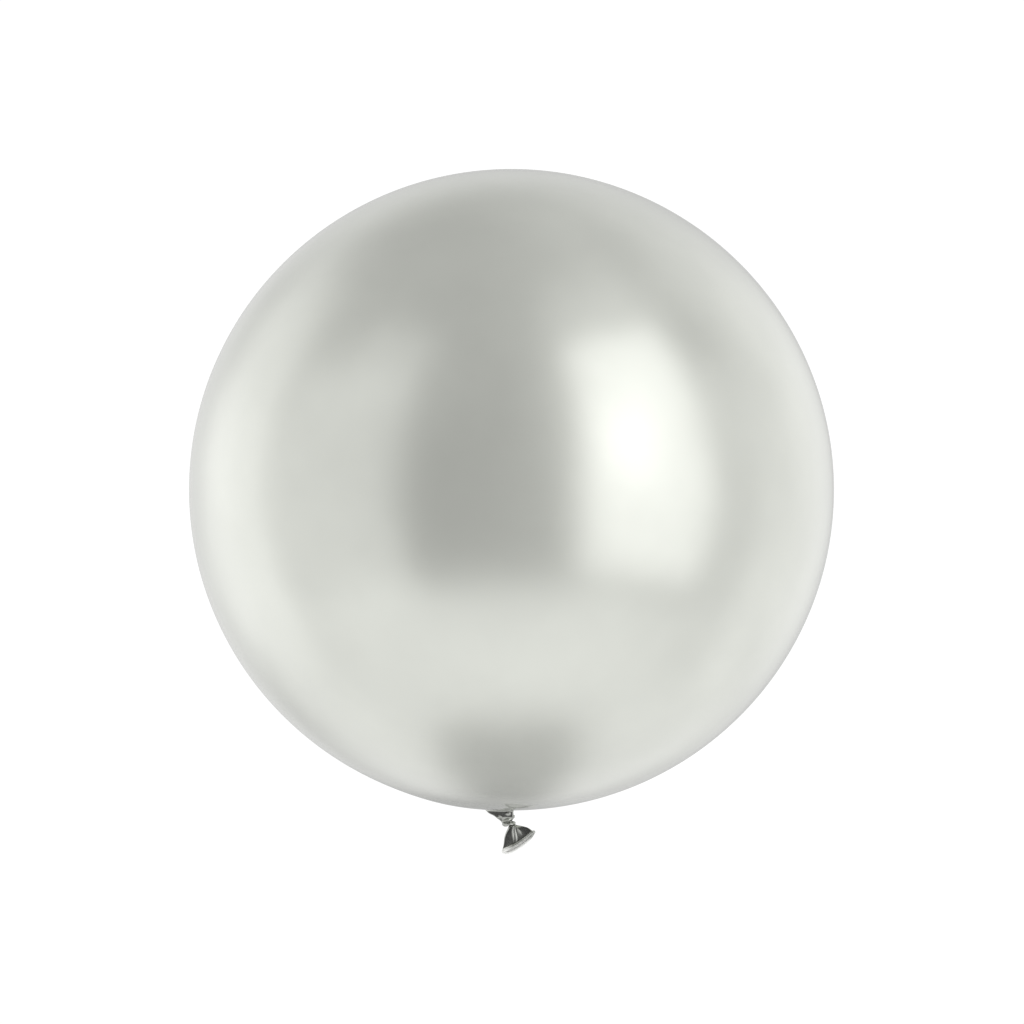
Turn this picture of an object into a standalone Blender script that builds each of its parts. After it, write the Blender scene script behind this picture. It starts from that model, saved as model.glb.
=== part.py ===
"""Giant round rubber balloon, inflated and tied off with a thumb knot.

Frame: metres, +Z up, origin at the middle of the ball. -Y is the front, where the
mouth of the tail is half turned to the viewer, and +X is to the right from there.

The ball is one thin shell. Below it the film is gathered into a pleated neck, the
neck becomes a strand, and the strand is tied: it runs down through the knot, turns
out, winds one and a half turns up around both strands and dives back down through
the middle. There it opens into the pleated tail with the rolled bead round its mouth.
"""

import math

import bmesh
import bpy
from mathutils import Euler, Vector

# Sizes of the inflated ball
BALL_RADIUS = 0.4500
BALL_HALF_HEIGHT = 0.4475
BALL_WALL = 0.0005
BALL_LEAN = math.radians(2.45)
BALL_SIDES = 48
BALL_ROWS = 24
NECK_ROWS = (math.radians(4.5), math.radians(2.4), math.radians(1.0), 0.0)
NECK_HOLE_RADIUS = 0.0018

# Sizes of the neck, from the ball down to the knot
GAP = 0.0003
NECK_TOP_RADIUS = 0.0240
NECK_END_SHIFT = 0.0010
NECK_SQUARENESS = 4.0
NECK_PLEATS = 9
NECK_SIDES = 54

# Sections of the neck. Columns: share of the way from the ball to the knot, half width,
# half depth, and depth of the pleats as a share of both
NECK_SECTIONS = (
    (0.00, NECK_TOP_RADIUS, NECK_TOP_RADIUS, 0.00),
    (0.18, 0.0207, 0.0170, 0.00),
    (0.31, 0.0187, 0.0132, 0.01),
    (0.50, 0.0172, 0.0119, 0.02),
    (0.63, 0.0155, 0.0117, 0.03),
    (0.79, 0.0131, 0.0113, 0.04),
    (1.00, 0.0106, 0.0103, 0.05),
)

# Sizes of the knot
STRAND_RADIUS = 0.0020
STRAND_SPACING = 0.0044
KNOT_CENTRE = Vector((-0.0041, 0.0, -0.4662))
KNOT_TILT = math.radians(18.0)
KNOT_TURNS = 1.5
WINDING_WIDTH = 0.0073
WINDING_DEPTH = 0.0058
WINDING_START = 0.08
WINDING_GAP = 0.00075
WINDING_STEPS = 42
TURN_RADIUS = 0.0017
TURN_LOW = 0.0055
TURN_BEGINS = 0.35
CORE_STEPS = 5
KNOT_HALF = 0.5 * KNOT_TURNS * STRAND_SPACING
KNOT_END = TURN_LOW + TURN_RADIUS + GAP

# Guide points of the strand as it runs down through the knot and turns out of it.
# Columns: how far left of its own line, away from the viewer, and down
CORE_GUIDES = (
    (0.0000, 0.0000, -0.0032),
    (0.0000, 0.0000, 0.0002),
    (0.0000, 0.0006, 0.0032),
    (0.0010, 0.0028, TURN_LOW),
    (0.0038, 0.0036, TURN_LOW - 0.0002),
    (0.0054, 0.0018, TURN_LOW - 0.0013),
)

# Sizes of the tail and its mouth
TAIL_WALL = 0.0008
TAIL_SIDES = 70
TAIL_PLEATS = 7
TAIL_BULGE = 0.13
TAIL_SWAY = 0.0007
PINCH_RADIUS = 0.0050
PINCH_ACROSS = 0.0034
MOUTH_CENTRE = Vector((0.0083, -0.0050, -0.4916))
MOUTH_HALF_WIDTH = 0.02555
MOUTH_HALF_DEPTH = 0.0080
MOUTH_BOW = 0.0062
MOUTH_SLOPE = math.radians(32.9)
MOUTH_TURN = math.radians(34.0)
BEAD_RADIUS = 0.0018
BEAD_STEPS = 48
BEAD_PAST_EDGE = BEAD_RADIUS + 0.6 * TAIL_WALL + GAP

# Sections of the tail. Columns: share of the way from the pinch to the mouth, and depth of
# the pleats as a share of the reach
TAIL_SECTIONS = (
    (0.00, 0.00),
    (0.15, 0.05),
    (0.35, 0.09),
    (0.60, 0.07),
    (0.80, 0.03),
    (1.00, 0.00),
)

# Knot directions: down along it, across it to the upper right, and away from the viewer
KNOT_AXIS = Vector((math.sin(KNOT_TILT), 0.0, -math.cos(KNOT_TILT)))
KNOT_ACROSS = Vector((math.cos(KNOT_TILT), 0.0, math.sin(KNOT_TILT)))
AWAY = Vector((0.0, 1.0, 0.0))

# Mouth directions: along its long side, out of it, and from its front wall to its back
MOUTH_ALONG = Vector((math.cos(MOUTH_SLOPE), 0.0, math.sin(MOUTH_SLOPE)))
MOUTH_DOWN = Vector((math.sin(MOUTH_SLOPE), 0.0, -math.cos(MOUTH_SLOPE)))
MOUTH_OUT = math.cos(MOUTH_TURN) * MOUTH_DOWN - math.sin(MOUTH_TURN) * AWAY
MOUTH_BACK = math.cos(MOUTH_TURN) * AWAY + math.sin(MOUTH_TURN) * MOUTH_DOWN

# Finishes: name, colour, metallic and roughness
FINISHES = {
    "inflated_film": ((0.72, 0.73, 0.70), 0.85, 0.30),
    "slack_film": ((0.30, 0.30, 0.29), 0.80, 0.28),
    "rolled_film": ((0.55, 0.56, 0.54), 0.80, 0.30),
}


def clear_scene():
    for old in list(bpy.data.objects):
        bpy.data.objects.remove(old, do_unlink=True)


def new_collection(name):
    made = bpy.data.collections.new(name)
    bpy.context.scene.collection.children.link(made)
    return made


def finish(name):
    """The Principled material of one finish, made once."""
    found = bpy.data.materials.get(name)
    if found:
        return found
    colour, metallic, roughness = FINISHES[name]
    made = bpy.data.materials.new(name)
    made.use_nodes = True
    shader = made.node_tree.nodes["Principled BSDF"]
    shader.inputs["Base Color"].default_value = (*colour, 1.0)
    shader.inputs["Metallic"].default_value = metallic
    shader.inputs["Roughness"].default_value = roughness
    return made


def add_object(name, data, collection, finish_name):
    made = bpy.data.objects.new(name, data)
    made.data.materials.append(finish(finish_name))
    collection.objects.link(made)
    return made


def lofted(name, rings, start_tip=None, end_tip=None):
    """A mesh through rings of equally many points, closed at either end by a fan to a tip."""
    mesh = bpy.data.meshes.new(name)
    work = bmesh.new()
    rows = [[work.verts.new(point) for point in ring] for ring in rings]
    sides = len(rings[0])
    for upper, lower in zip(rows, rows[1:]):
        for i in range(sides):
            j = (i + 1) % sides
            work.faces.new((upper[i], lower[i], lower[j], upper[j]))
    for tip, row in ((start_tip, rows[0]), (end_tip, rows[-1])):
        if tip is None:
            continue
        peak = work.verts.new(tip)
        for i in range(sides):
            work.faces.new((row[i], row[(i + 1) % sides], peak))
    bmesh.ops.recalc_face_normals(work, faces=work.faces)
    work.to_mesh(mesh)
    work.free()
    mesh.shade_smooth()
    mesh.set_sharp_from_angle(angle=math.radians(40.0))
    return mesh


def tube(name, points, radii, collection, finish_name, closed=False):
    """A round strand along points, as a curve with filled ends. Each point has its radius."""
    curve = bpy.data.curves.new(name, "CURVE")
    curve.dimensions = "3D"
    curve.bevel_depth = 1.0
    curve.bevel_resolution = 3
    curve.use_fill_caps = not closed
    line = curve.splines.new("POLY")
    line.points.add(len(points) - 1)
    for spot, point, radius in zip(line.points, points, radii):
        spot.co = (*point, 1.0)
        spot.radius = radius
    line.use_cyclic_u = closed
    return add_object(name, curve, collection, finish_name)


def smooth_route(guides, steps):
    """Points on the cubic B-spline that follows the guide points, steps to each stretch."""
    padded = [2 * guides[0] - guides[1], *guides, 2 * guides[-1] - guides[-2]]
    route = []
    for a, b, c, d in zip(padded, padded[1:], padded[2:], padded[3:]):
        for i in range(steps):
            t = i / steps
            before = (1 - t) ** 3 * a + (3 * t**3 - 6 * t**2 + 4) * b
            after = (1 + 3 * t + 3 * t**2 - 3 * t**3) * c + t**3 * d
            route.append((before + after) / 6)
    route.append(guides[-1])
    return route


def ball_profile():
    """The ball's outer side from its top to the edge of its neck hole, at +X."""
    lowest = math.pi - math.asin(NECK_HOLE_RADIUS / BALL_RADIUS)
    angles = [lowest * row / BALL_ROWS for row in range(BALL_ROWS)]
    angles += [lowest - above for above in NECK_ROWS]
    for angle in angles:
        yield (BALL_RADIUS * math.sin(angle), 0.0, BALL_HALF_HEIGHT * math.cos(angle))


def build_ball(collection):
    """The inflated film, a turned shell whose lowest point leans to the left."""
    profile = list(ball_profile())
    mesh = bpy.data.meshes.new("envelope")
    mesh.from_pydata(profile, [(i, i + 1) for i in range(len(profile) - 1)], [])
    ball = add_object("envelope", mesh, collection, "inflated_film")
    turn = ball.modifiers.new("turn", "SCREW")
    turn.steps = turn.render_steps = BALL_SIDES
    turn.use_merge_vertices = True
    turn.merge_threshold = 0.00001
    turn.use_smooth_shade = True
    wall = ball.modifiers.new("wall", "SOLIDIFY")
    wall.thickness = BALL_WALL
    wall.offset = -1.0
    ball.rotation_euler = Euler((0.0, BALL_LEAN, 0.0))


def pleated_ring(centre, along, half_width, half_depth, power, depth):
    """A ring of the neck: an ellipse that grows squarer with power, in pleats of share depth."""
    ring = []
    for i in range(NECK_SIDES):
        angle = 2 * math.pi * i / NECK_SIDES
        wide = abs(math.cos(angle) / half_width) ** power
        deep = abs(math.sin(angle) / half_depth) ** power
        reach = (wide + deep) ** (-1 / power) * (1 + depth * math.cos(NECK_PLEATS * angle))
        ring.append(centre + reach * (math.cos(angle) * along + math.sin(angle) * AWAY))
    return ring


def build_neck(collection):
    """The gathered film between the ball and the knot: a solid flare of pleats."""
    lean = Vector((-math.sin(BALL_LEAN), 0.0, -math.cos(BALL_LEAN)))
    level = Vector((math.cos(BALL_LEAN), 0.0, -math.sin(BALL_LEAN)))
    bottom = BALL_HALF_HEIGHT * lean
    rim_rise = BALL_HALF_HEIGHT - math.sqrt(BALL_HALF_HEIGHT**2 - NECK_TOP_RADIUS**2)
    top = bottom + (GAP - rim_rise) * lean
    end = knot_point(-NECK_END_SHIFT, 0.0, -KNOT_END)
    rings = []
    for share, half_width, half_depth, depth in NECK_SECTIONS:
        centre = top.lerp(end, share)
        along = level.lerp(KNOT_ACROSS, share).normalized()
        power = 2 + (NECK_SQUARENESS - 2) * min(1.0, 2 * share)
        rings.append(pleated_ring(centre, along, half_width, half_depth, power, depth))
    mesh = lofted("gathered_neck", rings, bottom + GAP * lean, end)
    add_object("gathered_neck", mesh, collection, "slack_film")


def knot_point(across, away, down):
    """A point at these distances from the knot's middle, in the knot's own directions."""
    return KNOT_CENTRE + across * KNOT_ACROSS + away * AWAY + down * KNOT_AXIS


def winding_point(turn):
    """A point of the winding, from turn 0 at its lower left to KNOT_TURNS at its upper right."""
    angle = math.pi + 2 * math.pi * turn
    down = KNOT_HALF - STRAND_SPACING * turn
    return knot_point(WINDING_WIDTH * math.cos(angle), WINDING_DEPTH * math.sin(angle), down)


def half_turned(point):
    """The point's place in the knot's other half, a half turn about AWAY from this one."""
    offset = point - KNOT_CENTRE
    return KNOT_CENTRE - offset + 2 * offset.dot(AWAY) * AWAY


def core_route():
    """The strand's route down through the knot's middle and out into the winding."""
    core = 0.5 * STRAND_SPACING
    route = [knot_point(-core, 0.0, GAP - KNOT_END)]
    route += [knot_point(-core - left, away, down) for left, away, down in CORE_GUIDES]
    route += [winding_point(share * WINDING_START) for share in (0.25, 0.62, 1.00)]
    return route


def squeezed(count):
    """Radii along the core's route: the film is squeezed thinner where it turns."""
    radii = []
    for i in range(count):
        share = max(0.0, (i / (count - 1) - TURN_BEGINS) / (1 - TURN_BEGINS))
        radii.append(STRAND_RADIUS - (STRAND_RADIUS - TURN_RADIUS) * math.sin(math.pi * share))
    return radii


def build_knot(collection):
    """The strand in three stretches, which meet end to end with a gap between them."""
    down = smooth_route(core_route(), CORE_STEPS)
    back = [half_turned(point) for point in down]
    start = WINDING_START + WINDING_GAP / (math.pi * (WINDING_WIDTH + WINDING_DEPTH))
    turns = KNOT_TURNS - 2 * start
    winding = [winding_point(start + turns * i / WINDING_STEPS) for i in range(WINDING_STEPS + 1)]
    full = [STRAND_RADIUS] * len(winding)
    tube("neck_strand", down, squeezed(len(down)), collection, "slack_film")
    tube("knot_winding", winding, full, collection, "slack_film")
    tube("tail_strand", back, squeezed(len(back)), collection, "slack_film")


def mouth_point(angle, out=0.0):
    """A point of the mouth's outline. Angle 0 is at its right end, a quarter turn at its back."""
    back = MOUTH_HALF_DEPTH * math.sin(angle) + MOUTH_BOW * math.sin(angle) ** 2
    along = MOUTH_HALF_WIDTH * math.cos(angle)
    return MOUTH_CENTRE + along * MOUTH_ALONG + back * MOUTH_BACK + out * MOUTH_OUT


def build_tail(collection):
    """The slack film beyond the knot: a pleated funnel, open at its mouth."""
    pinch_centre = knot_point(PINCH_ACROSS, 0.0, KNOT_END)
    mouth_middle = MOUTH_CENTRE + 0.5 * MOUTH_BOW * MOUTH_BACK
    rings = []
    for share, depth in TAIL_SECTIONS:
        sway = -TAIL_SWAY * math.sin(2 * math.pi * share) * KNOT_ACROSS
        middle = pinch_centre.lerp(mouth_middle, share)
        bulge = 1 + TAIL_BULGE * 4 * share * (1 - share)
        ring = []
        for i in range(TAIL_SIDES):
            angle = 2 * math.pi * i / TAIL_SIDES
            spoke = math.cos(angle) * KNOT_ACROSS + math.sin(angle) * AWAY
            start = pinch_centre + PINCH_RADIUS * spoke
            reach = start.lerp(mouth_point(angle), share) - middle
            pleats = 1 + depth * math.cos(TAIL_PLEATS * angle)
            ring.append(middle + sway + bulge * pleats * reach)
        rings.append(ring)
    mesh = lofted("tail_skirt", rings, start_tip=pinch_centre)
    tail = add_object("tail_skirt", mesh, collection, "slack_film")
    wall = tail.modifiers.new("wall", "SOLIDIFY")
    wall.thickness = TAIL_WALL
    wall.offset = -1.0


def build_bead(collection):
    """The rolled edge of the mouth, a closed ring just past the tail's edge."""
    route = []
    for i in range(BEAD_STEPS):
        route.append(mouth_point(2 * math.pi * i / BEAD_STEPS, BEAD_PAST_EDGE))
    radii = [BEAD_RADIUS] * BEAD_STEPS
    tube("mouth_bead", route, radii, collection, "rolled_film", closed=True)


def main():
    clear_scene()
    balloon = new_collection("giant_round_balloon")
    build_ball(balloon)
    build_neck(balloon)
    build_knot(balloon)
    build_tail(balloon)
    build_bead(balloon)


main()
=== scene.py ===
"""Looks of the giant round balloon: pearl silver film, tied below with a thumb knot.

Frame: metres, +Z up, origin at the middle of the ball. The camera looks along +Y.
Azimuths in this script are in degrees from the direction towards the camera,
counted to the right. Elevations are in degrees above the level.
"""

import math

import bmesh
import bpy
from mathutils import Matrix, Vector


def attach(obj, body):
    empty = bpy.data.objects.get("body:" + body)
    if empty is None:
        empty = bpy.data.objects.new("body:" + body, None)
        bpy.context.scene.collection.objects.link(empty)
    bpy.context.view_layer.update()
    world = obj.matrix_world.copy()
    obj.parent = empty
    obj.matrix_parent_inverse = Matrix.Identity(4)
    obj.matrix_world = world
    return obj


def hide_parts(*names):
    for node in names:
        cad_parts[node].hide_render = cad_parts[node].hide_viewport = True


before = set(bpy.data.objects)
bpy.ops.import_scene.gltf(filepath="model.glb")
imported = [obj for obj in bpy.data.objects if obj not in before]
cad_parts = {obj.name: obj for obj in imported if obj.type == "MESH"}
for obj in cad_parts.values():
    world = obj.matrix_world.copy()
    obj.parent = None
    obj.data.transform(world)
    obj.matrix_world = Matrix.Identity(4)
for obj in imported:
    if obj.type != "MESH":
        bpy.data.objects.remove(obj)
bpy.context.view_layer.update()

# Ball
BALL_RADIUS = 0.4500
BALL_HALF_HEIGHT = 0.4475
BALL_LEAN = math.radians(2.45)
BALL_SIDES = 224
BALL_ROWS = 140
BALL_SAG = 0.0013
BALL_SAG_SPREAD = math.radians(8.0)
BALL_SAG_TOWARDS = Vector((-0.190, -0.105, -0.976)).normalized()

# Neck: columns are the left end's x and z, the right end's x and z, and how far the front
# and the back stand out from the balloon's middle
NECK_RINGS = (
    (-0.0461, -0.4446, 0.0079, -0.4460, 0.0200, 0.0220),
    (-0.0430, -0.4456, 0.0061, -0.4470, 0.0170, 0.0195),
    (-0.0388, -0.4470, 0.0042, -0.4482, 0.0122, 0.0160),
    (-0.0365, -0.4486, 0.0030, -0.4498, 0.0096, 0.0143),
    (-0.0346, -0.4507, 0.0026, -0.4516, 0.0092, 0.0138),
    (-0.0324, -0.4529, 0.0026, -0.4536, 0.0090, 0.0135),
    (-0.0294, -0.4549, 0.0026, -0.4559, 0.0088, 0.0132),
    (-0.0245, -0.4570, 0.0026, -0.4584, 0.0087, 0.0127),
    (-0.0213, -0.4601, 0.0026, -0.4604, 0.0082, 0.0119),
    (-0.0169, -0.4631, 0.0022, -0.4622, 0.0064, 0.0108),
    (-0.0137, -0.4656, 0.0012, -0.4636, 0.0048, 0.0086),
    (-0.0116, -0.4673, 0.0000, -0.4650, 0.0032, 0.0055),
    (-0.0092, -0.4678, -0.0030, -0.4660, 0.0016, 0.0022),
)
NECK_TIP = Vector((-0.0062, 0.0, -0.4672))
NECK_INSIDE_BALL = 0.0006
NECK_SIDES = 360
NECK_STEPS = 6

# The neck's rings turn from ovals into blunt-sided ones, and slacken on the left. The first
# three are powers of the ring's outline, the others shares of the neck's length
NECK_OVAL = 2.0
NECK_BLUNT = 30.0
NECK_SLACK = 7.0
NECK_BLUNTS_OVER = (0.1, 0.3)
NECK_SLACKENS_OVER = (0.35, 0.55)
NECK_FOLD_FADE = 0.25

# How round the crest of a fold is, as a share of its width
PLEAT_SOFTNESS = 0.18

# Folds of the neck. Columns: angle in degrees at the ball and at the knot, width, height,
# and the shares of the neck's length where the fold starts and ends
NECK_FOLDS = (
    (-172.0, -158.0, 0.0016, 0.0008, 0.40, 1.2),
    (-151.0, -130.0, 0.0015, 0.0010, 0.40, 1.2),
    (-131.0, -103.0, 0.0015, 0.0009, 0.40, 1.2),
    (-20.0, -12.0, 0.0013, 0.0006, 0.50, 1.2),
    (12.0, 18.0, 0.0016, 0.0010, 0.35, 1.2),
    (40.0, 44.0, 0.0013, 0.0008, 0.30, 1.2),
    (68.0, 71.0, 0.0015, 0.0011, 0.35, 1.2),
    (97.0, 99.0, 0.0013, 0.0009, 0.35, 1.2),
    (125.0, 127.0, 0.0015, 0.0011, 0.30, 1.2),
    (153.0, 150.0, 0.0014, 0.0009, 0.35, 1.2),
)

# Lumps and dents of the film on the neck's front. Columns: the middle's x and z, half width,
# half height and lift
NECK_LUMPS = (
    (-0.0046, -0.4530, 0.0030, 0.0020, 0.0010),
    (-0.0158, -0.4614, 0.0050, 0.0017, -0.0013),
)

# Knot
STRAND_RADIUS = 0.0021
STRAND_SPACING = 0.0044
KNOT_CENTRE = Vector((-0.0041, 0.0, -0.4662))
KNOT_TILT = math.radians(18.0)
KNOT_HALF = 0.0033

# Guide points of the strand through the knot: down from the neck, out, one and a half turns
# round the middle, and down again to the tail. Columns: across, away and down, in millimetres
STRAND_GUIDES = (
    (-2.2, 0.0, -7.5),
    (-2.2, 0.0, -3.2),
    (-2.2, 0.0, 0.2),
    (-2.4, 0.6, 2.6),
    (-3.6, 2.6, 4.2),
    (-6.4, 3.4, 2.8),
    (-8.4, 1.4, 0.8),
    (-8.0, -1.6, 0.1),
    (-5.2, -5.8, 0.9),
    (0.0, -7.8, 2.3),
    (5.2, -5.8, 3.7),
    (8.2, -0.6, 4.2),
    (5.7, 4.5, 3.0),
    (0.0, 6.4, 0.6),
    (-5.7, 4.5, -2.4),
    (-9.0, -0.6, -3.9),
    (-5.4, -5.8, -3.4),
    (0.0, -7.8, -3.8),
    (5.2, -5.8, -4.3),
    (9.4, -1.4, -4.9),
    (9.2, 2.2, -5.3),
    (6.4, 3.6, -5.6),
    (3.6, 2.6, -5.0),
    (2.4, 0.6, -3.2),
    (2.2, 0.0, -0.5),
    (2.2, 0.0, 3.0),
    (2.2, 0.0, 7.5),
)
STRAND_STEPS = 10
STRAND_SIDES = 64

# The strand's twisted surface: the length in which it turns by a radian, the depth, count and
# waver of its sharp flutes, the depth, count and twist of its soft ones, and its lumps
STRAND_TWIST = 0.021
FLUTE_DEPTH = 0.12
FLUTE_COUNT = 2.5
FLUTE_WAVER = 0.8
FLUTE_WAVER_RATE = 180.0
SOFT_FLUTE_DEPTH = 0.05
SOFT_FLUTE_COUNT = 3
SOFT_FLUTE_TWIST = 5.0
STRAND_FULLNESS = 1.02

# Columns: height as a share of the strand's radius, radians in a metre, and start
STRAND_LUMPS = (
    (0.05, 900.0, 0.0),
    (0.04, 410.0, 1.0),
)

# Tail and mouth
PINCH_RADIUS = 0.0058
PINCH_ACROSS = 0.0026
PINCH_DOWN = 0.0072
MOUTH_CENTRE = Vector((0.0083, -0.0050, -0.4916))
MOUTH_HALF_WIDTH = 0.02555
MOUTH_HALF_DEPTH = 0.0061
MOUTH_BOW = 0.0084
MOUTH_SLOPE = math.radians(32.9)
MOUTH_TURN = math.radians(34.0)
MOUTH_YAW = math.radians(5.0)
MOUTH_BLUNTNESS = 3.5
TAIL_WALL = 0.0004
TAIL_SIDES = 540
TAIL_STEPS = 64
TAIL_HEM = 0.0015
TAIL_BULGE = 0.15
TAIL_SWAY = 0.0007
WAIST_STEPS = 6

# Brings the highest value of share * (1 - share)**2 to 1
BULGE_SCALE = 6.75

# Folds of the tail. Columns: angle in degrees at the pinch and at the mouth, width, height,
# and how far down the tail the fold reaches, as a share
TAIL_FOLDS = (
    (-120.0, -162.0, 0.0010, 0.0009, 0.70),
    (-71.0, -107.0, 0.0010, 0.0010, 1.30),
    (-43.0, -96.0, 0.0010, 0.0010, 1.30),
    (-45.0, -69.0, 0.0009, 0.0014, 0.85),
    (-10.0, -26.0, 0.0026, 0.0022, 1.10),
    (0.0, -8.0, 0.0016, 0.0006, 0.90),
    (25.0, 24.0, 0.0016, 0.0010, 0.95),
    (52.0, 52.0, 0.0015, 0.0012, 0.80),
    (80.0, 81.0, 0.0015, 0.0013, 1.05),
    (104.0, 104.0, 0.0014, 0.0010, 0.70),
    (129.0, 129.0, 0.0016, 0.0012, 0.95),
    (158.0, 158.0, 0.0016, 0.0009, 0.80),
)

# The folds' width and height at the pinch, as shares of their full ones, the shares of the
# tail's length where they are full, and how suddenly a fold ends
FOLD_WIDTH_AT_PINCH = 0.55
FOLD_HEIGHT_AT_PINCH = 0.6
FOLDS_WIDE_BY = 0.5
FOLDS_HIGH_BY = 0.25
FOLD_END_POWER = 4

# The rolled edge. Its grooves, its kinks under the folds, its knob at the right end and its
# swell at the front left are shares of its radius
BEAD_RADIUS = 0.0018
BEAD_PAST_EDGE = 0.0026
BEAD_STEPS = 240
BEAD_SIDES = 32
BEAD_GROOVE = 0.03
BEAD_GROOVE_TWIST = 2.0
BEAD_KINK = 0.06
BEAD_KINK_WIDTH = 3.0
BEAD_KNOB = 0.45
BEAD_KNOB_WIDTH = 6.0
BEAD_SWELL = 0.55
BEAD_SWELLS_LEFT = (0.1, 0.8)
BEAD_SWELLS_FRONT = (0.0, 0.4)

# Knot directions: down along it, across it to the upper right, and away from the viewer
KNOT_AXIS = Vector((math.sin(KNOT_TILT), 0.0, -math.cos(KNOT_TILT)))
KNOT_ACROSS = Vector((math.cos(KNOT_TILT), 0.0, math.sin(KNOT_TILT)))
AWAY = Vector((0.0, 1.0, 0.0))

# Mouth directions: along its long side, out of it, and from its front wall to its back
MOUTH_ALONG = Vector((math.cos(MOUTH_SLOPE), -math.tan(MOUTH_YAW), math.sin(MOUTH_SLOPE)))
MOUTH_DOWN = Vector((math.sin(MOUTH_SLOPE), 0.0, -math.cos(MOUTH_SLOPE)))
MOUTH_OUT = math.cos(MOUTH_TURN) * MOUTH_DOWN - math.sin(MOUTH_TURN) * AWAY
MOUTH_BACK = math.cos(MOUTH_TURN) * AWAY + math.sin(MOUTH_TURN) * MOUTH_DOWN

# Camera
CAMERA_PLACE = (0.0007, -3.994, -0.03095)
CAMERA_LENS = 100.0
CAMERA_SENSOR = 36.0

# Floor and the light that casts the ball's shadow on it
FLOOR_DROP = 2.0
FLOOR_RADIUS = 3.2
FLOOR_FADE = 1.8
FLOOR_SIDES = 128
FLOOR_COLOUR = (0.30, 0.30, 0.30, 1.0)
SUN_STRENGTH = 7.0
SUN_WIDTH = math.radians(24.0)
SUN_TILT = math.radians(16.0)


class Graph:
    """Adds nodes to one node tree and wires them."""

    def __init__(self, tree):
        self.tree = tree
        tree.nodes.clear()

    def node(self, kind, inputs=None, **settings):
        made = self.tree.nodes.new(kind)
        for name, value in settings.items():
            setattr(made, name, value)
        for name, value in (inputs or {}).items():
            self.feed(made.inputs[name], value)
        return made

    def feed(self, socket, value):
        if isinstance(value, bpy.types.NodeSocket):
            self.tree.links.new(value, socket)
        else:
            socket.default_value = value

    def math(self, operation, *values):
        made = self.node("ShaderNodeMath", operation=operation)
        for socket, value in zip(made.inputs, values):
            self.feed(socket, value)
        return made.outputs[0]

    def ramp(self, value, low, high, start=0.0, end=1.0):
        """Rises smoothly from start at low to end at high, and stays level outside them."""
        made = self.node("ShaderNodeMapRange", interpolation_type="SMOOTHSTEP")
        for socket, number in zip(made.inputs, (value, low, high, start, end)):
            self.feed(socket, number)
        return made.outputs[0]

    def noise(self, place, scale, detail=2.0):
        made = self.node("ShaderNodeTexNoise", {"Vector": place, "Scale": scale, "Detail": detail})
        return made.outputs["Fac"]

    def mix(self, share, first, second):
        """A colour between first and second."""
        made = self.node("ShaderNodeMix", data_type="RGBA")
        for place, value in ((0, share), (6, first), (7, second)):
            self.feed(made.inputs[place], value)
        return made.outputs[2]


def place_object(name, data):
    made = bpy.data.objects.new(name, data)
    bpy.context.scene.collection.objects.link(made)
    return made


def lofted(name, rings, start_tip=None, end_tip=None, closed=False):
    """A mesh through rings of equally many points, with a fan to a tip at either end."""
    work = bmesh.new()
    rows = [[work.verts.new(point) for point in ring] for ring in rings]
    sides = len(rings[0])
    pairs = list(zip(rows, rows[1:]))
    if closed:
        pairs.append((rows[-1], rows[0]))
    for upper, lower in pairs:
        for i in range(sides):
            j = (i + 1) % sides
            work.faces.new((upper[i], lower[i], lower[j], upper[j]))
    for tip, row in ((start_tip, rows[0]), (end_tip, rows[-1])):
        if tip is None:
            continue
        peak = work.verts.new(tip)
        for i in range(sides):
            work.faces.new((row[i], row[(i + 1) % sides], peak))
    bmesh.ops.recalc_face_normals(work, faces=work.faces)
    mesh = bpy.data.meshes.new(name)
    work.to_mesh(mesh)
    work.free()
    mesh.shade_smooth()
    return place_object(name, mesh)


def smooth_route(guides, steps):
    """Points on the cubic B-spline that follows the guide points, steps to each stretch."""
    padded = [2 * guides[0] - guides[1], *guides, 2 * guides[-1] - guides[-2]]
    route = []
    for a, b, c, d in zip(padded, padded[1:], padded[2:], padded[3:]):
        for i in range(steps):
            t = i / steps
            before = (1 - t) ** 3 * a + (3 * t**3 - 6 * t**2 + 4) * b
            after = (1 + 3 * t + 3 * t**2 - 3 * t**3) * c + t**3 * d
            route.append((before + after) / 6)
    route.append(guides[-1])
    return route


def smooth_step(value, low, high):
    """Rises smoothly from 0 at low to 1 at high."""
    share = min(1.0, max(0.0, (value - low) / (high - low)))
    return share * share * (3 - 2 * share)


def pleat(angle, centre, width):
    """The height, 0 to 1, of a sharp fold at centre. Angles are in degrees."""
    apart = (angle - centre + 180.0) % 360.0 - 180.0
    soft = PLEAT_SOFTNESS * width
    return math.exp(-(math.sqrt(apart**2 + soft**2) - soft) / width)


# Pieces of the balloon


def lean_directions():
    """Down along the ball's leaning axis, and level across it to the right."""
    down = Vector((-math.sin(BALL_LEAN), 0.0, -math.cos(BALL_LEAN)))
    across = Vector((math.cos(BALL_LEAN), 0.0, -math.sin(BALL_LEAN)))
    return down, across


def ball_sag(point):
    """How far the ball is fuller here than a plain one, at its lower left."""
    return BALL_SAG * math.exp(-((point.angle(BALL_SAG_TOWARDS) / BALL_SAG_SPREAD) ** 2))


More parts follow.
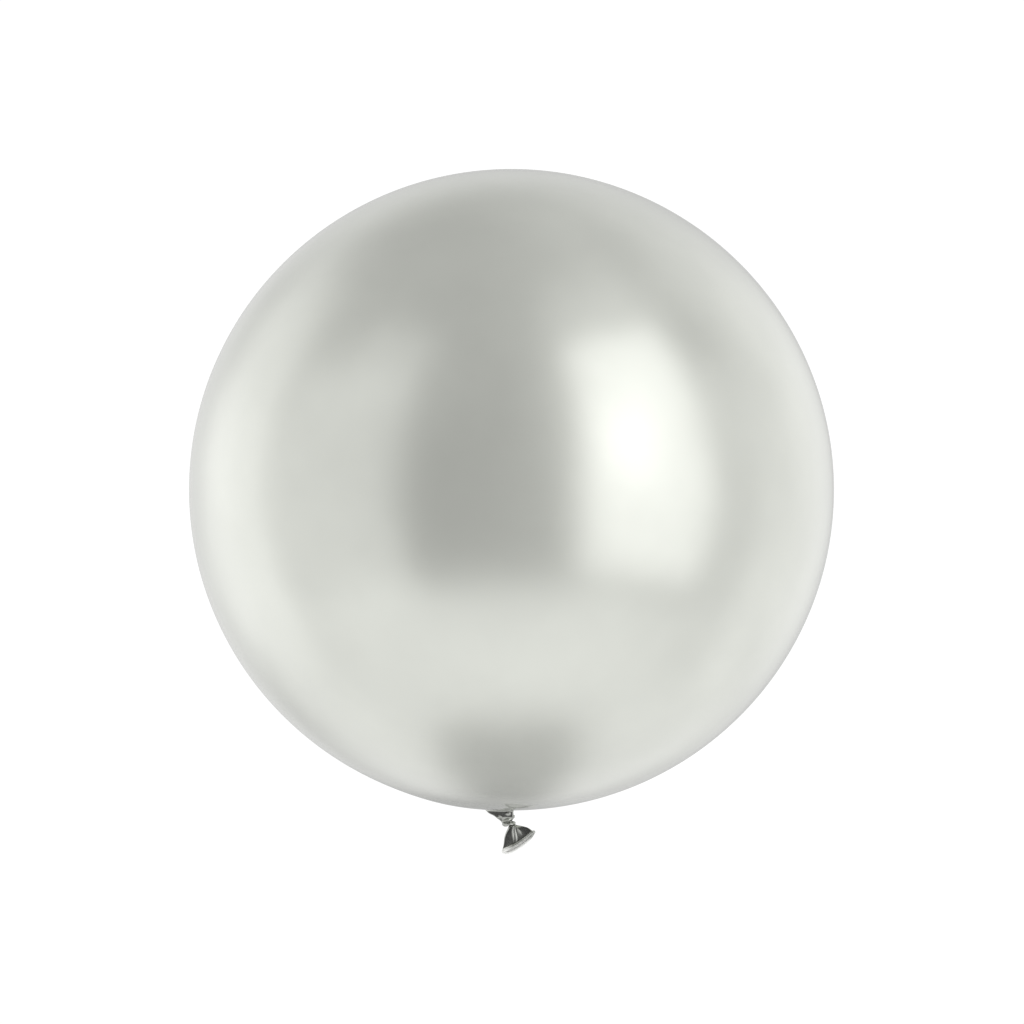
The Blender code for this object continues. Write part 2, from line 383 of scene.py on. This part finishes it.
def build_ball():
    """The inflated film, a closed smooth skin turned about the leaning axis."""
    down, across = lean_directions()
    rings = []
    for row in range(1, BALL_ROWS):
        polar = math.pi * row / BALL_ROWS
        middle = -BALL_HALF_HEIGHT * math.cos(polar) * down
        reach = BALL_RADIUS * math.sin(polar)
        ring = []
        for i in range(BALL_SIDES):
            angle = 2 * math.pi * i / BALL_SIDES
            point = middle + reach * (math.cos(angle) * across + math.sin(angle) * AWAY)
            ring.append(point + ball_sag(point) * point.normalized())
        rings.append(ring)
    return lofted("ball_film", rings, -BALL_HALF_HEIGHT * down, BALL_HALF_HEIGHT * down)


def knot_point(across, away, down):
    """A point at these distances from the knot's middle, in the knot's own directions."""
    return KNOT_CENTRE + across * KNOT_ACROSS + away * AWAY + down * KNOT_AXIS


def neck_fold_height(degrees, share, radius):
    """How far the folds lift the neck's film at this angle and share of its length."""
    lift = 0.0
    for first, last, width, height, start, end in NECK_FOLDS:
        centre = first + (last - first) * share
        begun = smooth_step(share, start, start + NECK_FOLD_FADE)
        full = begun * smooth_step(share, end, end - NECK_FOLD_FADE)
        spread = math.degrees(width / radius)
        lift += height * full * (pleat(degrees, centre, spread) - spread / 180.0)
    return lift


def lump_lift(point):
    """How far the lumps on the neck's front lift the film here."""
    total = 0.0
    for x, z, width, height, lift in NECK_LUMPS:
        across = (point.x - x) / width
        up = (point.z - z) / height
        total += lift * math.exp(-(across**2) - up**2)
    return total


def build_neck():
    """The gathered film: a flare that leaves the ball and folds up into the knot."""
    guides = [Vector(row) for row in NECK_RINGS]
    route = smooth_route(guides, NECK_STEPS)
    rings = []
    for step, (left_x, left_z, right_x, right_z, front, back) in enumerate(route):
        share = step / (len(route) - 1)
        middle = 0.5 * (back - front)
        depth = 0.5 * (back + front)
        left = Vector((left_x, middle, left_z))
        right = Vector((right_x, middle, right_z))
        centre = 0.5 * (left + right)
        half = 0.5 * (right - left).length
        along = (right - left).normalized()
        blunt = smooth_step(share, *NECK_BLUNTS_OVER)
        left_slack = smooth_step(share, *NECK_SLACKENS_OVER)
        ring = []
        for i in range(NECK_SIDES):
            degrees = 360.0 * i / NECK_SIDES
            angle = math.radians(degrees)
            slack = left_slack if math.cos(angle) < 0 else 0.0
            limit = NECK_BLUNT + (NECK_SLACK - NECK_BLUNT) * slack
            power = NECK_OVAL + (limit - NECK_OVAL) * blunt
            flat = abs(math.cos(angle) / half) ** power + abs(math.sin(angle) / depth) ** power
            reach = flat ** (-1 / power) + neck_fold_height(degrees, share, 0.5 * (half + depth))
            point = centre + reach * (math.cos(angle) * along + math.sin(angle) * AWAY)
            if math.sin(angle) < 0:
                point -= lump_lift(point) * AWAY
            ring.append(point)
        rings.append(ring)
    down = lean_directions()[0]
    return lofted("neck_folds", rings, (BALL_HALF_HEIGHT - NECK_INSIDE_BALL) * down, NECK_TIP)


def carried_frames(route):
    """Two directions square to the route at each point, carried along it without a twist."""
    frames = []
    side = None
    for i in range(len(route)):
        ahead = route[min(i + 1, len(route) - 1)]
        behind = route[max(i - 1, 0)]
        along = (ahead - behind).normalized()
        if side is None:
            side = along.orthogonal()
        side = (side - side.dot(along) * along).normalized()
        frames.append((side, along.cross(side)))
    return frames


def strand_reach(length, turn, angle):
    """How far the strand's film is from its middle, at this length along it and angle round it."""
    waver = FLUTE_WAVER * math.sin(FLUTE_WAVER_RATE * length)
    flutes = FLUTE_DEPTH * abs(math.sin(FLUTE_COUNT * (angle + turn) + waver))
    flutes += SOFT_FLUTE_DEPTH * math.sin(SOFT_FLUTE_COUNT * angle - SOFT_FLUTE_TWIST * turn)
    lump = 1
    for height, rate, start in STRAND_LUMPS:
        lump += height * math.sin(rate * length + start)
    return STRAND_RADIUS * lump * (STRAND_FULLNESS - flutes)


def build_strand():
    """The twisted film of the knot, fluted along its length."""
    guides = [knot_point(0.001 * a, 0.001 * b, 0.001 * c) for a, b, c in STRAND_GUIDES]
    route = smooth_route(guides, STRAND_STEPS)
    frames = carried_frames(route)
    rings = []
    length = 0.0
    for i, (centre, (side, other)) in enumerate(zip(route, frames)):
        if i:
            length += (centre - route[i - 1]).length
        turn = length / STRAND_TWIST
        ring = []
        for k in range(STRAND_SIDES):
            angle = 2 * math.pi * k / STRAND_SIDES
            reach = strand_reach(length, turn, angle)
            ring.append(centre + reach * (math.cos(angle) * side + math.sin(angle) * other))
        rings.append(ring)
    return lofted("tied_strand", rings, route[0], route[-1])


def mouth_point(angle, out=0.0):
    """A point of the mouth's outline, whose back is blunt at its left end.

    Angle 0 is at its right end and a quarter turn at its back.
    """
    away = math.sin(angle)
    if away > 0 and math.cos(angle) < 0:
        away = (1 - abs(math.cos(angle)) ** MOUTH_BLUNTNESS) ** (1 / MOUTH_BLUNTNESS)
    back = MOUTH_HALF_DEPTH * away + MOUTH_BOW * away**2
    along = MOUTH_HALF_WIDTH * math.cos(angle)
    return MOUTH_CENTRE + along * MOUTH_ALONG + back * MOUTH_BACK + out * MOUTH_OUT


def fold_angle(first, last, share):
    """Where a fold that runs straight from the pinch to the mouth crosses this ring, in degrees."""
    half = PINCH_RADIUS + (MOUTH_HALF_WIDTH - PINCH_RADIUS) * share
    start = PINCH_RADIUS * math.cos(math.radians(first))
    end = MOUTH_HALF_WIDTH * math.cos(math.radians(last))
    across = start + (end - start) * share
    return math.degrees(math.copysign(math.acos(across / half), last))


def tail_fold_height(degrees, folds, radius):
    """How far these folds lift the tail's film at this angle. They come from folds_across."""
    lift = 0.0
    for centre, fade, width, height in folds:
        spread = math.degrees(width / radius)
        lift += height * fade * (pleat(degrees, centre, spread) - spread / 180.0)
    return lift


def folds_across(share):
    """Each fold's angle, fullness, width and height at this share of the tail's length.

    The tail's radius there comes with them.
    """
    radius = PINCH_RADIUS + (MOUTH_HALF_WIDTH - PINCH_RADIUS) * share
    widened = smooth_step(share, 0.0, FOLDS_WIDE_BY)
    width_share = FOLD_WIDTH_AT_PINCH + (1 - FOLD_WIDTH_AT_PINCH) * widened
    folds = []
    for first, last, width, height, reach in TAIL_FOLDS:
        fade = max(0.0, 1.0 - (share / reach) ** FOLD_END_POWER)
        folds.append((fold_angle(first, last, share), fade, width * width_share, height))
    return folds, radius


def build_tail():
    """The slack film beyond the knot: folds that spread from the knot to the open mouth."""
    top = knot_point(0.5 * STRAND_SPACING, 0.0, KNOT_HALF)
    pinch = knot_point(PINCH_ACROSS, 0.0, PINCH_DOWN)
    mouth_middle = MOUTH_CENTRE + 0.5 * MOUTH_BOW * MOUTH_BACK
    rings = []
    folds, radius = folds_across(0.0)
    for step in range(WAIST_STEPS):
        share = step / WAIST_STEPS
        centre = top.lerp(pinch, share)
        width = STRAND_RADIUS + (PINCH_RADIUS - STRAND_RADIUS) * share
        ring = []
        for i in range(TAIL_SIDES):
            degrees = 360.0 * i / TAIL_SIDES
            angle = math.radians(degrees)
            fullness = FOLD_HEIGHT_AT_PINCH * share
            reach = width + fullness * tail_fold_height(degrees, folds, radius)
            ring.append(centre + reach * (math.cos(angle) * KNOT_ACROSS + math.sin(angle) * AWAY))
        rings.append(ring)
    for step in range(TAIL_STEPS + 1):
        share = step / TAIL_STEPS
        middle = pinch.lerp(mouth_middle, share)
        sway = -TAIL_SWAY * math.sin(2 * math.pi * share) * KNOT_ACROSS
        bulge = 1 + TAIL_BULGE * BULGE_SCALE * share * (1 - share) ** 2
        folds, radius = folds_across(share)
        heightened = min(1.0, share / FOLDS_HIGH_BY)
        fullness = FOLD_HEIGHT_AT_PINCH + (1 - FOLD_HEIGHT_AT_PINCH) * heightened
        ring = []
        for i in range(TAIL_SIDES):
            degrees = 360.0 * i / TAIL_SIDES
            angle = math.radians(degrees)
            start = pinch + PINCH_RADIUS * (math.cos(angle) * KNOT_ACROSS + math.sin(angle) * AWAY)
            reach = start.lerp(mouth_point(angle), share) - middle
            lift = fullness * tail_fold_height(degrees, folds, radius)
            ring.append(middle + sway + bulge * reach + lift * reach.normalized())
        rings.append(ring)
    ring = []
    for i in range(TAIL_SIDES):
        edge = mouth_point(2 * math.pi * i / TAIL_SIDES)
        onward = (edge - pinch).normalized() + MOUTH_OUT
        ring.append(edge + TAIL_HEM * onward.normalized())
    rings.append(ring)
    tail = lofted("tail_film", rings, start_tip=top)
    wall = tail.modifiers.new("wall", "SOLIDIFY")
    wall.thickness = TAIL_WALL
    wall.offset = -1.0
    wall.material_offset = 1
    return tail


def build_roll():
    """The rolled edge round the mouth, kinked where the folds run over it."""
    rings = []
    step = 2 * math.pi / BEAD_STEPS
    kinks = [row[1] for row in TAIL_FOLDS if row[4] > 1.0]
    for i in range(BEAD_STEPS):
        angle = 2 * math.pi * i / BEAD_STEPS
        degrees = math.degrees(angle)
        centre = mouth_point(angle, BEAD_PAST_EDGE)
        along = (mouth_point(angle + step) - mouth_point(angle - step)).normalized()
        out = (MOUTH_OUT - MOUTH_OUT.dot(along) * along).normalized()
        side = along.cross(out)
        kink = BEAD_KINK * sum(pleat(degrees, place, BEAD_KINK_WIDTH) for place in kinks)
        knob = BEAD_KNOB * pleat(degrees, 0.0, BEAD_KNOB_WIDTH)
        swell = BEAD_SWELL * smooth_step(-math.cos(angle), *BEAD_SWELLS_LEFT)
        swell *= smooth_step(-math.sin(angle), *BEAD_SWELLS_FRONT)
        ring = []
        for k in range(BEAD_SIDES):
            around = 2 * math.pi * k / BEAD_SIDES
            groove = BEAD_GROOVE * math.sin(around + BEAD_GROOVE_TWIST * angle)
            reach = BEAD_RADIUS * (1.0 - groove + kink + knob + swell)
            ring.append(centre + reach * (math.cos(around) * out + math.sin(around) * side))
        rings.append(ring)
    return lofted("mouth_roll", rings, closed=True)


# Materials


# Looks of the film: colour, metal share, roughness, coat, the coat's roughness, the scale and
# depth of the grain in its gloss, and the sheen, of the dusting powder inside and of the painted
# highlight on the rolled edge
INFLATED_LOOK = ((0.80, 0.818, 0.757), 0.55, 0.30, 1.0, 0.14, 160.0, 0.015, 0.0)
LOWER_LOOK = ((0.80, 0.818, 0.757), 0.55, 0.22, 1.0, 0.09, 160.0, 0.015, 0.0)
SLACK_LOOK = ((0.50, 0.51, 0.48), 1.0, 0.20, 0.4, 0.08, 420.0, 0.03, 0.0)
ROLLED_LOOK = ((0.57, 0.58, 0.55), 0.80, 0.32, 0.3, 0.16, 420.0, 0.02, 0.0)
# The rolled edge's left end and back are painted near white, with little metal and some sheen: a
# painted highlight
BEAD_PAINTED_HIGHLIGHT_LOOK = ((0.96, 0.965, 0.94), 0.06, 0.30, 0.3, 0.16, 420.0, 0.02, 0.35)
# The tail's inside is pale dusted film, whitened further as painted light that lifts the shade in
# the tail's hollow
DUSTY_AND_PAINTED_LIGHT_LOOK = ((0.97, 0.97, 0.95), 0.0, 0.60, 0.0, 0.10, 420.0, 0.05, 1.0)

# Where one look gives way to the next: start and end along an axis, in metres
LOWER_OVER_Z = (-0.40, -0.44)
SLACK_OVER_Z = (-0.4485, -0.4500)
# The rolled edge's painted highlight fades into its grey look along X, and comes back at the edge's
# back along Y
PAINTED_HIGHLIGHT_FADES_OVER_X = (-0.009, 0.003)
PAINTED_HIGHLIGHT_RETURNS_OVER_Y = (-0.004, 0.002)

# Clouds in the film's colour and grain in its gloss: scale, detail and the part of the noise
# that is used. The clouds' darker side has this share of the colour
CLOUD_SCALE = 5.0
CLOUD_DETAIL = 3.0
CLOUD_RANGE = (0.30, 0.70)
CLOUD_SHADE = 0.93
GRAIN_DETAIL = 2.0
GRAIN_RANGE = (0.25, 0.75)
COAT_INDEX = 1.5
SHEEN_ROUGHNESS = 0.5


def film_surface(graph, place, look):
    """Pearl rubber film. Its colour and gloss vary a little over the surface."""
    colour, metallic, roughness, coat, coat_roughness, grain_scale, depth, sheen = look
    clouds = graph.noise(place, CLOUD_SCALE, CLOUD_DETAIL)
    grain = graph.noise(place, grain_scale, GRAIN_DETAIL)
    shade = tuple(CLOUD_SHADE * part for part in colour)
    share = graph.ramp(clouds, *CLOUD_RANGE)
    tint = graph.mix(share, (*shade, 1.0), (*colour, 1.0))
    gloss = graph.ramp(grain, *GRAIN_RANGE, roughness - depth, roughness + depth)
    surface = graph.node(
        "ShaderNodeBsdfPrincipled",
        {
            "Base Color": tint,
            "Metallic": metallic,
            "Roughness": gloss,
            "Coat Weight": coat,
            "Coat Roughness": coat_roughness,
            "Coat IOR": COAT_INDEX,
            "Sheen Weight": sheen,
            "Sheen Roughness": SHEEN_ROUGHNESS,
        },
    )
    return surface.outputs[0]


def film_material(name, look):
    made = bpy.data.materials.new(name)
    made.use_nodes = True
    graph = Graph(made.node_tree)
    place = graph.node("ShaderNodeTexCoord").outputs["Object"]
    end = graph.node("ShaderNodeOutputMaterial")
    graph.feed(end.inputs["Surface"], film_surface(graph, place, look))
    return made


def blended_material(name, first, *changes):
    """Film of the first look, with changes to further looks, each along one axis."""
    made = bpy.data.materials.new(name)
    made.use_nodes = True
    graph = Graph(made.node_tree)
    place = graph.node("ShaderNodeTexCoord").outputs["Object"]
    parts = graph.node("ShaderNodeSeparateXYZ", {"Vector": place}).outputs
    surface = film_surface(graph, place, first)
    for look, axis, start, full in changes:
        share = graph.ramp(parts[axis], start, full)
        further = film_surface(graph, place, look)
        mixed = graph.node("ShaderNodeMixShader", {"Fac": share, 1: surface, 2: further})
        surface = mixed.outputs[0]
    end = graph.node("ShaderNodeOutputMaterial")
    graph.feed(end.inputs["Surface"], surface)
    return made


def dress(piece, materials, node_names):
    """Gives a piece its materials, rides it on the root body, and hides the imported parts it
    stands in for.
    """
    piece.data.materials.clear()
    for material in materials:
        piece.data.materials.append(material)
    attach(piece, "root")
    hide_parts(*node_names)


# Studio


def softbox(graph, azimuth, elevation, box):
    """The radiance of one soft-edged panel of the studio, as seen from the ball."""
    centre, half, side_edge, low, high, end_edge, strength = box
    turned = graph.math("SUBTRACT", azimuth, centre)
    apart = graph.math("ABSOLUTE", graph.math("WRAP", turned, 180.0, -180.0))
    across = graph.ramp(apart, half + side_edge, half - side_edge)
    bottom = graph.ramp(elevation, low - end_edge, low + end_edge)
    top = graph.ramp(elevation, high + end_edge, high - end_edge)
    inside = graph.math("MULTIPLY", across, graph.math("MULTIPLY", bottom, top))
    return graph.math("MULTIPLY", inside, strength)


# Panels that the film mirrors. Columns: azimuth of the middle, half width, softness of the
# sides, lowest and highest elevation, softness of the ends, radiance. A flag takes light away
PANELS = {
    "key": (49.3, 25.3, 7.5, -28.0, 50.0, 5.0, 1.24),
    "key_core": (41.5, 11.0, 8.0, 2.0, 26.0, 10.0, 0.64),
    "key_glow": (57.0, 32.0, 16.0, 50.0, 71.5, 10.0, 0.39),
    "key_flag": (58.0, 12.0, 8.0, 36.0, 52.0, 6.0, -0.07),
    "front": (8.0, 30.0, 14.0, -34.0, 12.0, 12.0, 0.085),
    "front_high": (17.0, 9.0, 8.0, 6.0, 66.0, 10.0, 0.05),
    "top_flag": (-16.0, 12.0, 9.0, 34.0, 74.0, 8.0, -0.06),
    "left": (-72.0, 34.0, 7.0, -34.0, 34.0, 9.0, 0.59),
    "left_spot": (-54.5, 16.5, 9.0, 30.0, 51.0, 7.0, 0.40),
    "left_back": (-121.0, 18.0, 17.0, -33.0, 36.0, 13.0, 0.60),
    "left_flag": (-116.0, 30.0, 12.0, 17.0, 34.0, 8.0, -0.35),
    "left_low": (-104.0, 8.0, 8.0, -34.0, -16.0, 7.0, 0.08),
    "left_low_flag": (-137.0, 14.0, 10.0, -41.0, -25.0, 7.0, -0.16),
    "left_rim": (-160.0, 12.0, 9.0, -18.0, 20.0, 10.0, 0.18),
    "right_gap": (92.0, 14.0, 8.0, -34.0, 36.0, 10.0, 0.50),
    "right_back": (134.0, 22.0, 16.0, -34.0, 44.0, 20.0, 0.37),
    "right_seam": (104.0, 5.0, 8.0, 2.0, 34.0, 10.0, -0.14),
    "right_low": (108.0, 11.0, 10.0, -33.0, -16.0, 8.0, 0.11),
    "right_low_flag": (134.0, 15.0, 10.0, -46.0, -29.0, 7.0, -0.13),
    "ground_flag": (88.0, 16.0, 10.0, -52.0, -36.0, 7.0, -0.09),
    "right_high": (135.0, 45.0, 25.0, 42.0, 78.0, 14.0, 0.20),
    "right_flag": (122.0, 38.0, 14.0, 20.0, 45.0, 8.0, -0.17),
    "low_flag": (180.0, 96.0, 14.0, -48.0, -33.0, 7.0, -0.18),
    "low_rim": (180.0, 26.0, 12.0, -29.0, -14.0, 6.0, 0.06),
    "far_flag": (-177.2, 5.0, 3.5, -31.0, -12.0, 5.0, -0.21),
    "back": (180.0, 80.0, 13.0, -38.0, 45.0, 18.0, 0.52),
    "dome": (0.0, 200.0, 5.0, 28.0, 120.0, 20.0, 0.15),
    "ground": (0.0, 200.0, 5.0, -120.0, -32.7, 9.0, 0.82),
}

# The dark room between the panels, the even light on matt surfaces, the white behind the
# balloon's front view and the pale grey of the backdrop elsewhere
ROOM = 0.03
FILL = 1.06
BACKGROUND = 1.05
BACKDROP = 0.87

# How far a direction points along +Y where the pale grey ends and where the white is full
BACKDROP_ENDS = 0.88
BACKGROUND_FULL = 0.96

# The ball's shade on the ground that the film mirrors, in tangents of the angle from straight
# down: its middle to the right, its half width near and far, where it narrows, where it starts
# and ends behind, and how soft its edges are. The end's softness is a share of its distance.
# The last value keeps level directions from a division by zero
SHADE_RIGHT = -0.012
SHADE_WIDE = 0.278
SHADE_NARROW = 0.153
SHADE_NARROWS_OVER = (0.2, 1.0)
SHADE_START = -0.05
SHADE_END = 3.50
SHADE_SIDE_SOFTNESS = 0.12
SHADE_START_SOFTNESS = 0.25
SHADE_END_SOFTNESS = 0.2
SHADE_DEPTH = 0.75
LEAST_DOWN = 0.01


def ground_shade(graph, parts):
    """The share of the ground's light that the ball takes away, by direction."""
    down = graph.math("MAXIMUM", graph.math("MULTIPLY", parts["Z"], -1.0), LEAST_DOWN)
    right = graph.math("SUBTRACT", graph.math("DIVIDE", parts["X"], down), SHADE_RIGHT)
    behind = graph.math("DIVIDE", parts["Y"], down)
    half = graph.ramp(behind, *SHADE_NARROWS_OVER, SHADE_WIDE, SHADE_NARROW)
    past = graph.math("SUBTRACT", graph.math("ABSOLUTE", right), half)
    width = graph.ramp(past, SHADE_SIDE_SOFTNESS, -SHADE_SIDE_SOFTNESS)
    start = SHADE_START - SHADE_START_SOFTNESS
    near = graph.ramp(behind, start, SHADE_START + SHADE_START_SOFTNESS)
    end = (1 + SHADE_END_SOFTNESS) * SHADE_END
    far = graph.ramp(behind, end, (1 - SHADE_END_SOFTNESS) * SHADE_END)
    inside = graph.math("MULTIPLY", width, graph.math("MULTIPLY", near, far))
    return graph.math("MULTIPLY", inside, SHADE_DEPTH)


def build_world():
    """A backdrop for the camera, even diffuse light, and a dark room with panels for gloss.

    The backdrop is white behind the balloon's front view, and very pale grey elsewhere.
    """
    world = bpy.data.worlds.new("studio")
    bpy.context.scene.world = world
    world.use_nodes = True
    world.cycles.sampling_method = "NONE"
    graph = Graph(world.node_tree)
    direction = graph.node("ShaderNodeTexCoord").outputs["Generated"]
    parts = graph.node("ShaderNodeSeparateXYZ", {"Vector": direction}).outputs
    toward = graph.math("MULTIPLY", parts["Y"], -1.0)
    azimuth = graph.math("DEGREES", graph.math("ARCTAN2", parts["X"], toward))
    elevation = graph.math("DEGREES", graph.math("ARCSINE", parts["Z"]))
    glow = ROOM
    for name, box in PANELS.items():
        panel = softbox(graph, azimuth, elevation, box)
        if name == "ground":
            lit = graph.math("SUBTRACT", 1.0, ground_shade(graph, parts))
            panel = graph.math("MULTIPLY", panel, lit)
        glow = graph.math("ADD", glow, panel)
    ray = graph.node("ShaderNodeLightPath").outputs
    mirrored = graph.node("ShaderNodeMix", {"Factor": ray["Is Glossy Ray"], "A": FILL, "B": glow})
    backdrop = graph.ramp(parts["Y"], BACKDROP_ENDS, BACKGROUND_FULL, BACKDROP, BACKGROUND)
    seen = graph.node(
        "ShaderNodeMix",
        {"Factor": ray["Is Camera Ray"], "A": mirrored.outputs[0], "B": backdrop},
    )
    sky = graph.node("ShaderNodeBackground", {"Color": (1, 1, 1, 1), "Strength": seen.outputs[0]})
    end = graph.node("ShaderNodeOutputWorld")
    graph.feed(end.inputs["Surface"], sky.outputs[0])


def build_floor():
    """A pale round floor that turns into the backdrop towards its edge."""
    work = bmesh.new()
    bmesh.ops.create_circle(work, cap_ends=True, radius=FLOOR_RADIUS, segments=FLOOR_SIDES)
    bmesh.ops.translate(work, verts=work.verts, vec=(0.0, 0.0, -FLOOR_DROP))
    mesh = bpy.data.meshes.new("floor")
    work.to_mesh(mesh)
    work.free()
    floor = place_object("floor", mesh)
    made = bpy.data.materials.new("floor")
    made.use_nodes = True
    graph = Graph(made.node_tree)
    place = graph.node("ShaderNodeTexCoord").outputs["Object"]
    flat = graph.node("ShaderNodeVectorMath", {0: place, 1: (1, 1, 0)}, operation="MULTIPLY")
    reach = graph.node("ShaderNodeVectorMath", {0: flat.outputs[0]}, operation="LENGTH")
    far = graph.ramp(reach.outputs["Value"], FLOOR_FADE, FLOOR_RADIUS)
    matt = graph.node("ShaderNodeBsdfDiffuse", {"Color": FLOOR_COLOUR})
    pale = graph.node("ShaderNodeEmission", {"Strength": BACKDROP})
    mixed = graph.node("ShaderNodeMixShader", {"Fac": far, 1: matt.outputs[0], 2: pale.outputs[0]})
    end = graph.node("ShaderNodeOutputMaterial")
    graph.feed(end.inputs["Surface"], mixed.outputs[0])
    mesh.materials.append(made)
    floor.visible_glossy = False
    return floor


def build_sun(floor):
    """The overhead light of the floor, which the ball shades."""
    data = bpy.data.lights.new("overhead", "SUN")
    data.energy = SUN_STRENGTH
    data.angle = SUN_WIDTH
    sun = place_object("overhead", data)
    sun.rotation_euler = (SUN_TILT, 0.0, 0.0)
    lit = bpy.data.collections.new("lit_by_overhead")
    lit.objects.link(floor)
    sun.light_linking.receiver_collection = lit


def build_camera():
    data = bpy.data.cameras.new("camera")
    data.lens = CAMERA_LENS
    data.sensor_width = CAMERA_SENSOR
    camera = place_object("camera", data)
    camera.location = CAMERA_PLACE
    camera.rotation_euler = (math.radians(90.0), 0.0, 0.0)
    bpy.context.scene.camera = camera


def main():
    build_camera()
    build_world()
    build_sun(build_floor())
    bpy.context.scene.view_settings.view_transform = "Standard"
    inflated = blended_material("inflated_film", INFLATED_LOOK, (LOWER_LOOK, "Z", *LOWER_OVER_Z))
    gathered = blended_material("gathered_film", LOWER_LOOK, (SLACK_LOOK, "Z", *SLACK_OVER_Z))
    slack = film_material("slack_film", SLACK_LOOK)
    # The tail's inside: pale dusted film, partly whitened as painted light against the shade in its
    # hollow
    dusty_and_painted_light = film_material("dusty_film_and_painted_light", DUSTY_AND_PAINTED_LIGHT_LOOK)
    # The rolled edge is grey in the middle, with a painted highlight at its left end and back
    rolled = blended_material(
        "rolled_film",
        BEAD_PAINTED_HIGHLIGHT_LOOK,
        (ROLLED_LOOK, "X", *PAINTED_HIGHLIGHT_FADES_OVER_X),
        (BEAD_PAINTED_HIGHLIGHT_LOOK, "Y", *PAINTED_HIGHLIGHT_RETURNS_OVER_Y),
    )
    dress(build_ball(), [inflated], ["envelope"])
    dress(build_neck(), [gathered], ["gathered_neck"])
    dress(build_strand(), [slack], ["neck_strand", "knot_winding", "tail_strand"])
    dress(build_tail(), [slack, dusty_and_painted_light], ["tail_skirt"])
    dress(build_roll(), [rolled], ["mouth_bead"])


main()
